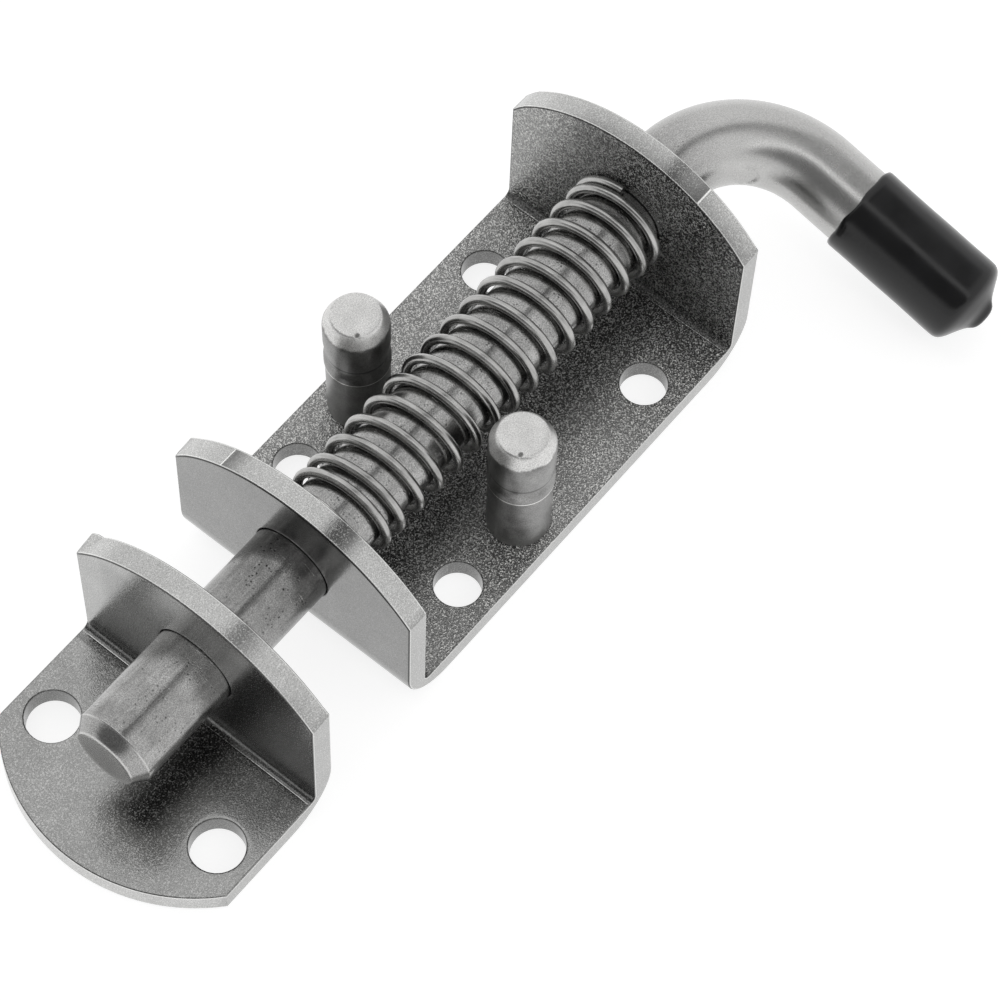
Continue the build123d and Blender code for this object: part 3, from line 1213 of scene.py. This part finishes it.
@dataclass
class CoilSpring:
    """Compression spring: a closed turn against the rear ear, then open turns of uneven pitch.

    Each stretch is a pitch and a number of turns, from the rear end.
    """

    wire_r: float = 0.9
    coil_r: float = 9.1
    rear_x: float = -41.2
    length: float = 81.85
    travel: float = 44.0
    sides: int = 14
    steps_a_turn: int = 64
    stretches: Pairs = (
        (1.9, 1.0), (4.2, 1.0), (5.1615, 13.0), (3.4, 1.0), (4.6, 0.75)
    )

    def build(self, finish: Material) -> None:
        """Build the spring.

        Args:
            finish: Its material.
        """
        bm = bmesh.new()
        start = Vector((self.rear_x, 0, AXIS_Z + self.coil_r))
        wire = BarSweep(bm, start, Vector((0, -1, 0)), self.wire_r, self.sides)
        angle = 2 * pi / self.steps_a_turn
        turn = turn_about(Vector((0, 0, AXIS_Z)), ALONG_X, angle)
        for pitch, turns in self.stretches:
            screw = Matrix.Translation(ALONG_X * (pitch / self.steps_a_turn)) @ turn
            for _ in range(round(turns * self.steps_a_turn)):
                wire.advance(screw, self.coil_r * angle)
        wire.close()
        piece = make_piece(bm, "coil_spring", finish, Body.ROOT, "spring")
        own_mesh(piece)


def spin_profile(
    bm: BMesh, points: list[tuple[float, float]], origin: Vector, axis: Vector, steps: int = 72
) -> None:
    """Turn a profile round an axis into a closed skin.

    Args:
        bm: Mesh to build in.
        points: Distances along the axis and radii, from pole to pole.
        origin: Point on the axis at distance 0.
        axis: Direction of the axis.
        steps: Number of segments round it.
    """
    across = axis.orthogonal().normalized()
    verts = [bm.verts.new(origin + axis * along + across * radius) for along, radius in points]
    edges = [bm.edges.new(pair) for pair in zip(verts, verts[1:])]
    bmesh.ops.spin(
        bm, geom=verts + edges, cent=origin, axis=axis, dvec=(0, 0, 0), angle=2 * pi, steps=steps,
        use_merge=True, use_duplicate=False,
    )
    bmesh.ops.remove_doubles(bm, verts=bm.verts[:], dist=0.0005)
    bmesh.ops.recalc_face_normals(bm, faces=bm.faces[:])


@dataclass
class Post:
    """Turned stud with a collar and a waist, riveted into the bracket, which may lean a little."""

    node: str
    y: float
    lean: tuple[float, float] = (0.0, 0.0)
    x: float = 9.4
    height: float = 34.8

    def build(self, finish: Material) -> None:
        """Build the stud.

        Args:
            finish: Its material.
        """
        profile = [
            (0.2, 0.0), (0.2, 4.78), (1.0, 3.98), (4.5, 3.98), (4.5, 5.62), (4.68, 5.8),
            (19.9, 5.8), (20.1, 5.86), (20.25, 6.0), (22.2, 6.0), (22.45, 5.95), (23.4, 5.71),
            (23.8, 5.71), (26.9, 5.97), (27.3, 6.0), (31.7, 6.0), (32.0, 5.97), (32.3, 5.87),
            (32.6, 5.72), (33.2, 5.42), (33.8, 5.1), (34.3, 4.82), (34.55, 4.64), (34.72, 4.42),
            (34.8, 4.15), (34.82, 3.0), (34.82, 1.4), (self.height, 0.0),
        ]
        bm = bmesh.new()
        spin_profile(bm, profile, Vector((self.x, self.y, 0)), Vector((0, 0, 1)))
        for vert in bm.verts:
            rise = max(vert.co.z - FoldedStrip.sheet, 0) / self.height
            vert.co += Vector((*self.lean, 0)) * rise
        make_piece(bm, f"turned_{self.node}", finish, Body.ROOT, self.node)


@dataclass
class Grip:
    """Dipped cap over the handle: an uneven open edge, a rounded shoulder and a pinched point."""

    bolt: BoltBar
    radius: float = 8.64
    inner: float = 7.77
    pinch: float = 0.45

    def build(self, finish: Material) -> None:
        """Build the grip.

        Args:
            finish: Its material.
        """
        radius, inner = self.radius, self.inner
        profile = [
            (33.0, 0.0), (33.0, 6.2), (32.0, inner), (20.0, inner), (9.2, inner),
            (8.8, inner + 0.12), (8.7, inner + 0.25), (8.75, 8.25), (8.95, 8.5), (9.4, 8.64),
            (10.4, radius), (12.0, radius), (14.0, radius), (17.0, radius), (20.0, radius),
            (23.0, radius), (26.0, radius), (29.0, radius), (31.5, radius), (33.4, radius),
            (34.4, 8.6), (35.0, 8.42), (35.5, 8.1), (35.9, 7.65), (36.3, 7.0), (36.7, 6.2),
            (37.1, 5.4), (37.5, 4.65), (37.9, 4.0), (38.3, 3.5), (38.7, 3.15), (39.05, 2.8),
            (39.35, 2.35), (39.58, 1.7), (39.7, 1.0), (39.74, 0.0),
        ]
        side = self.bolt.side_direction()
        start = self.bolt.handle_start()
        bm = bmesh.new()
        spin_profile(bm, profile, start, side)
        flat = (ALONG_X * 0.8 + ALONG_X.cross(side) * 0.6).normalized()
        for vert in bm.verts:
            along = (vert.co - start).dot(side)
            spoke = vert.co - start - side * along
            if along < 14 and spoke.length > 7.2:
                vert.co += side * (noise.noise(spoke * 0.28) * 0.35 * fall(8.7, 14, along))
            if along > 12 and spoke.length > 7.5:
                vert.co -= spoke.normalized() * (noise.noise(vert.co * 0.12) + 0.5) * 0.12
            vert.co -= flat * spoke.dot(flat) * self.pinch * smoothstep(37.2, 39.0, along)
        make_piece(bm, "dipped_grip", finish, Body.BOLT, "grip")


@dataclass
class HiddenFittings:
    """Stop pin and spring washer, which keep their CAD shape."""

    nodes: tuple[str, ...] = ("stop_pin", "spring_washer")

    def dress(self, finish: Material) -> None:
        """Give both fittings their finish.

        Args:
            finish: Their material.
        """
        for node in self.nodes:
            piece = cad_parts[node]
            piece.data.materials.clear()
            piece.data.materials.append(finish)
            LOG.info("%s: kept", node)


@dataclass
class Studio:
    """White floor, an even white tent of light and the camera.

    The camera's angles are in degrees, and shift moves it right and up.
    """

    focal_px: float = 3754.5
    image_px: float = 1001.0
    azimuth: float = 36.38
    elevation: float = 61.92
    roll: float = 3.13
    distance: float = 675.4
    shift: tuple[float, float] = (5.25, -11.58)
    floor_grey: float = 0.35
    floor_glow: float = 0.82
    sky: float = 0.95

    def camera(self) -> None:
        """Place the camera."""
        data = bpy.data.cameras.new("camera")
        data.sensor_width = 36.0
        data.lens = self.focal_px / self.image_px * data.sensor_width
        data.clip_start = 0.01
        data.clip_end = 20.0
        camera = bpy.data.objects.new("camera", data)
        turns = ((90 + self.azimuth, "Z"), (90 - self.elevation, "X"), (self.roll, "Z"))
        first, second, third = (Matrix.Rotation(radians(angle), 4, axis) for angle, axis in turns)
        back = Matrix.Translation(Vector((*self.shift, self.distance)) * MM)
        camera.matrix_world = first @ second @ third @ back
        bpy.context.scene.collection.objects.link(camera)
        bpy.context.scene.camera = camera

    def world(self) -> None:
        """Light everything from a white tent, with a dark seam, a bright strip and a dim side.

        The seam runs along the bolt, and the dim side is where the camera stands. The camera
        itself sees plain white.
        """
        world = bpy.data.worlds.new("tent")
        bpy.context.scene.world = world
        sheet = NodeSheet(world)
        x, y, z = sheet.axes(sheet.add("ShaderNodeTexCoord").outputs["Generated"])
        lean = y.combine("DIVIDE", z.combine("MAXIMUM", 0.05))
        seam = lean.remap(0.1, 0.13, soft=True) * lean.remap(0.16, 0.56, 1.0, 0.0)
        seam *= z.remap(0.35, 0.6, soft=True) * x.remap(0.02, 0.08, 1.0, 0.0, soft=True)
        strip = x.remap(0.07, 0.12, soft=True) * x.remap(0.22, 0.28, 1.0, 0.0, soft=True)
        strip *= z.remap(0.5, 0.7, soft=True)
        dim = x.remap(0.23, 0.36, soft=True) * z.remap(0.2, 0.5, soft=True)
        sky = seam * -0.8 + strip * 0.5 + dim * -0.74 + self.sky
        seen = sheet.add("ShaderNodeLightPath").outputs["Is Camera Ray"]
        background = sheet.tree.nodes["Background"]
        sheet.feed(background.inputs["Color"], sky.combine("MAXIMUM", seen))

    def floor(self) -> None:
        """Lay the white floor."""
        bm = bmesh.new()
        bmesh.ops.create_grid(bm, x_segments=1, y_segments=1, size=2.0)
        bmesh.ops.translate(bm, vec=(0, 0, -0.00005), verts=bm.verts)
        mesh = bpy.data.meshes.new("floor")
        bm.to_mesh(mesh)
        bm.free()
        floor = bpy.data.objects.new("floor", mesh)
        bpy.context.scene.collection.objects.link(floor)
        sheet = NodeSheet(bpy.data.materials.new("floor_white"))
        grey = self.floor_grey
        for name, value in (
            ("Base Color", (grey, grey, grey, 1)), ("Roughness", 0.9),
            ("Emission Color", (1, 1, 1, 1)), ("Emission Strength", self.floor_glow),
            ("Specular IOR Level", 0.0),
        ):
            sheet.feed(sheet.shader.inputs[name], value)
        mesh.materials.append(sheet.owner)

    def build(self) -> None:
        """Set up the view settings, camera, light and floor."""
        bpy.context.scene.view_settings.view_transform = "Standard"
        self.camera()
        self.world()
        self.floor()


def main() -> None:
    """Build every piece in order."""
    logging.basicConfig(level=logging.INFO, format="%(name)s %(message)s")
    Studio().build()
    plate = PlateSteel().material()
    bar = BarSteel().material()
    wire = WireSteel().material()
    turned = TurnedSteel().material()
    vinyl = DippedVinyl().material()
    Bracket().build(plate)
    Keeper().build(plate)
    bolt = BoltBar()
    bolt.build(bar)
    CoilSpring().build(wire)
    Post("left_post", -18.3, (0.3, -0.4)).build(turned)
    Post("right_post", 18.3).build(turned)
    Grip(bolt).build(vinyl)
    HiddenFittings().dress(turned)


if __name__ == "__main__":
    main()
